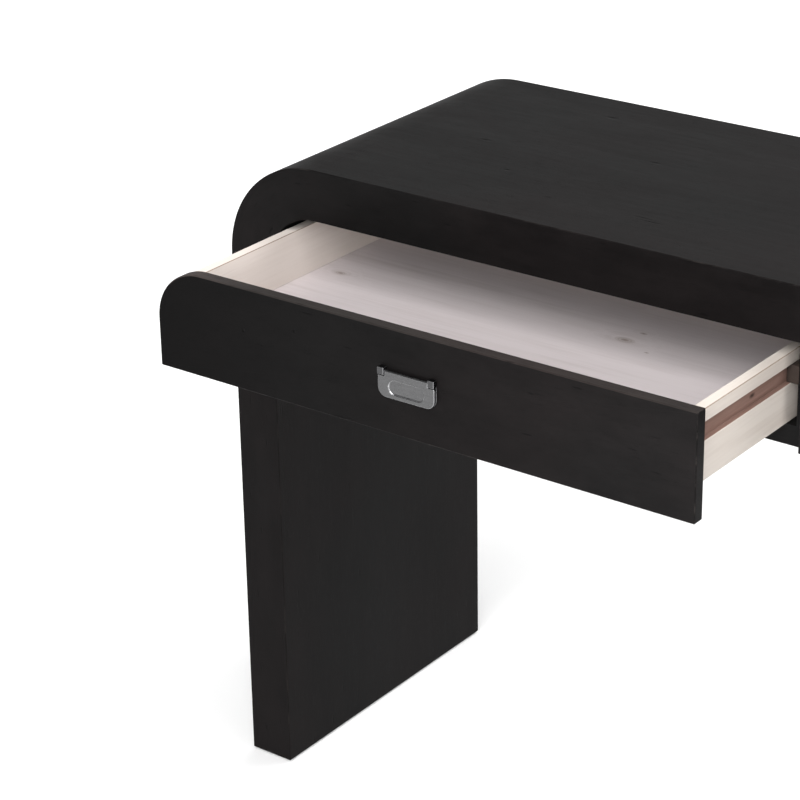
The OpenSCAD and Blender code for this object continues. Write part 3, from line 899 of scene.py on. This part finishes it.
# A glide's nail recess: radius, and height above the floor, in millimetres
GLIDE_RECESS = ((1.0, 1.1), (2.6, 0.9), (3.0, 0.6), (3.4, 0.0))
# A glide's rim: distance inside its edge, and height above the floor, in millimetres
GLIDE_RIM = ((0.8, 0.0), (0.25, 0.2), (0.0, 0.7))
STEM_R = 2.5 * MM


def solids(node):
    """Low corner, high corner and points of each loose solid of a CAD node."""
    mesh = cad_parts[node].data
    groups = {}

    def root(key):
        while groups[key] != key:
            key = groups[key]
        return key

    keys = [tuple(round(c * GRID) for c in v.co) for v in mesh.vertices]
    for key in keys:
        groups.setdefault(key, key)
    for edge in mesh.edges:
        a, b = (root(keys[i]) for i in edge.vertices)
        groups[a] = b
    found = {}
    for key, vertex in zip(keys, mesh.vertices):
        found.setdefault(root(key), []).append(vertex.co)
    for points in found.values():
        low, high = ([pick(p[i] for p in points) for i in range(3)] for pick in (min, max))
        yield low, high, points


def screw_set(node, body, pan=False):
    """Countersunk or pan-headed screws with a cross recess, one for each screw of the CAD node."""
    shape = Shape()
    for low, high, points in solids(node):
        k = max(range(3), key=lambda i: high[i] - low[i])  # the screw's axis
        u, v = [i for i in range(3) if i != k]
        centre = Vector(((low[u] + high[u]) / 2, (low[v] + high[v]) / 2))
        head = (high[u] - low[u]) / 2
        wide = max((abs(p[u] - centre.x), p[k]) for p in points)[1]
        top, way = (high[k], -1) if high[k] - wide < wide - low[k] else (low[k], 1)
        length = high[k] - low[k]
        arm, half = RECESS_ARM * head, RECESS_HALF * head
        cross = [
            (arm, -half), (arm, half), (half, half), (half, arm), (-half, arm), (-half, half),
            (-arm, half), (-arm, -half), (-half, -half), (-half, -arm), (half, -arm), (half, -half),
        ]
        evenly = {
            round(2 * math.pi * i / SCREW_STEPS - math.pi + SCREW_TURN, 5)
            for i in range(SCREW_STEPS)
        }
        angles = sorted(angles_of(cross) | evenly)
        unit = [Vector((math.cos(a), math.sin(a))) for a in angles]
        star = [Vector(on_ray(cross, Vector((0, 0)), a)) for a in angles]

        def ring(offsets, size, depth):
            """A ring of the offsets times size, that deep below the top of the head."""
            places = []
            for offset in offsets:
                place = [0.0, 0.0, 0.0]
                place[k] = top + way * depth
                place[u], place[v] = centre + size * offset
                places.append(place)
            return shape.ring(places)

        rings = [ring(star, 0.6, RECESS_DEPTH * head), ring(star, 1.0, 0.0)]
        if pan:
            rings += [ring(unit, share * head, depth * MM) for share, depth in PAN_HEAD]
            rings.append(ring(unit, SHANK_R, PAN_HEAD_T))
        else:
            rings.append(ring(unit, head - 0.3 * MM, 0.0))
            rings.append(ring(unit, head - 0.15 * MM, 0.08 * MM))
            rings.append(ring(unit, SHANK_R, CONE))
        rings.append(ring(unit, SHANK_R, length - CONE))
        rings.append(ring(unit, 0.4 * SHANK_R, length))
        shape.loft(rings)
    return shape.build(node + "_cross_recess", [ZINC], body, [node])


def glide_set(node):
    """Round glides with an eased rim, a nail recess underneath and a stem up into the leg."""
    shape = Shape()
    for low, high, _ in solids(node):
        centre = ((low[0] + high[0]) / 2, (low[1] + high[1]) / 2)
        pad, z = (high[0] - low[0]) / 2, low[2]
        profile = [(radius * MM, z + up * MM) for radius, up in GLIDE_RECESS]
        profile += [(pad - inside * MM, z + up * MM) for inside, up in GLIDE_RIM]
        profile += [(pad, FOOT_Z), (STEM_R, FOOT_Z), (STEM_R, high[2])]
        turned(shape, centre, "Z", profile)
    return shape.build(node + "_turned", [NYLON], "table", [node])


glide_set("floor_glides")
for node in ("case_screws", "back_screws", "runner_screws"):
    screw_set(node, "table")
for side in SIDES:
    screw_set(side + "_drawer_screws", side + "_drawer")
    screw_set(side + "_pull_screws", side + "_drawer", pan=True)

# ---------------------------------------------------------------- floor, light and camera

WHITE = (1.0, 1.0, 1.0, 1.0)
FLOOR_REACH, FLOOR_GAP = 14.0, 0.2 * MM
LIGHT_TARGET = Vector((0.0, 0.0, 0.4))
# Azimuth and elevation in degrees, distance, size, and power in watts
LIGHTS = {
    "front_high": (10, 62, 4.0, 2.6, 87),
    "front": (15, 30, 4.0, 2.4, 150),
    "right": (70, 35, 2.6, 1.2, 6),
    "right_low": (70, 12, 3.4, 1.4, 9),
    "back_right": (140, 45, 4.0, 2.6, 97),
    "back": (180, 60, 4.0, 3.0, 55),
    "back_left": (217, 28, 4.0, 2.8, 12),
}
# Where the camera stands, how it is turned, in degrees, and its lens and sensor, in millimetres
CAMERA_PLACE = Vector((1.08431, -2.15739, 1.67909))
CAMERA_AZIMUTH, CAMERA_ELEVATION, CAMERA_ROLL = 37.24, 24.13, -1.00
FOCAL_LENGTH, SENSOR_WIDTH = 118.02, 36.0


def floor():
    """A plain pale floor under the glides, wide enough to fill the view. It glows, faintly near the
    table and more far off: painted light that whitens it and lightens the shadows on it.
    """
    s = Shader("pale_floor", Roughness=0.9, Specular_IOR_Level=0.1, Emission_Color=WHITE)
    place = s.place()
    pale = s.ramp(s.noise(place, scale=3.0), (0.3, (0.90, 0.90, 0.90)), (0.7, (0.92, 0.92, 0.92)))
    away = s.distance(place, (0.0, 0.0, 0.0), (1.0, 1.0, 1.0))
    # Glow from 0.12 near the table to 0.8 far off: painted light
    s.feed(Base_Color=pale, Emission_Strength=s.remap(away, 0.8, 5.0, 0.12, 0.8))
    r = FLOOR_REACH
    mesh = bpy.data.meshes.new("floor")
    mesh.from_pydata([(-r, -r, 0), (r, -r, 0), (r, r, 0), (-r, r, 0)], [], [(0, 1, 2, 3)])
    mesh.materials.append(s.material)
    plane = bpy.data.objects.new("floor", mesh)
    bpy.context.collection.objects.link(plane)
    plane.location.z = CAD_BOX[0][2] - FLOOR_GAP


def studio_world():
    """White walls to look at, but dim as a light, so that the lamps make the shading."""
    world = bpy.data.worlds.new("studio")
    world.use_nodes = True
    tree = world.node_tree
    background = tree.nodes["Background"]
    background.inputs["Color"].default_value = WHITE
    path = tree.nodes.new("ShaderNodeLightPath")
    strength = tree.nodes.new("ShaderNodeMapRange")
    strength.inputs["To Min"].default_value = 0.2
    strength.inputs["To Max"].default_value = 1.0
    tree.links.new(path.outputs["Is Camera Ray"], strength.inputs["Value"])
    tree.links.new(strength.outputs[0], background.inputs["Strength"])
    bpy.context.scene.world = world


def area_light(name, azimuth, elevation, distance, size, power):
    """A soft square light that looks at the middle of the table."""
    a, e = math.radians(azimuth), math.radians(elevation)
    way = Vector((math.sin(a) * math.cos(e), -math.cos(a) * math.cos(e), math.sin(e)))
    data = bpy.data.lights.new(name, "AREA")
    data.size, data.energy = size, power
    light = bpy.data.objects.new(name, data)
    light.visible_camera = False
    bpy.context.collection.objects.link(light)
    light.location = LIGHT_TARGET + distance * way
    light.rotation_euler = (-way).to_track_quat("-Z", "Y").to_euler()


floor()
studio_world()
for name, values in LIGHTS.items():
    area_light(name, *values)

camera = bpy.data.objects.new("camera", bpy.data.cameras.new("camera"))
bpy.context.collection.objects.link(camera)
camera.data.sensor_width = SENSOR_WIDTH
camera.data.lens = FOCAL_LENGTH
camera.matrix_world = (
    Matrix.Translation(CAMERA_PLACE)
    @ Matrix.Rotation(math.radians(CAMERA_AZIMUTH), 4, "Z")
    @ Matrix.Rotation(math.pi / 2 - math.radians(CAMERA_ELEVATION), 4, "X")
    @ Matrix.Rotation(math.radians(CAMERA_ROLL), 4, "Z")
)
bpy.context.scene.camera = camera
bpy.context.scene.view_settings.view_transform = "Standard"
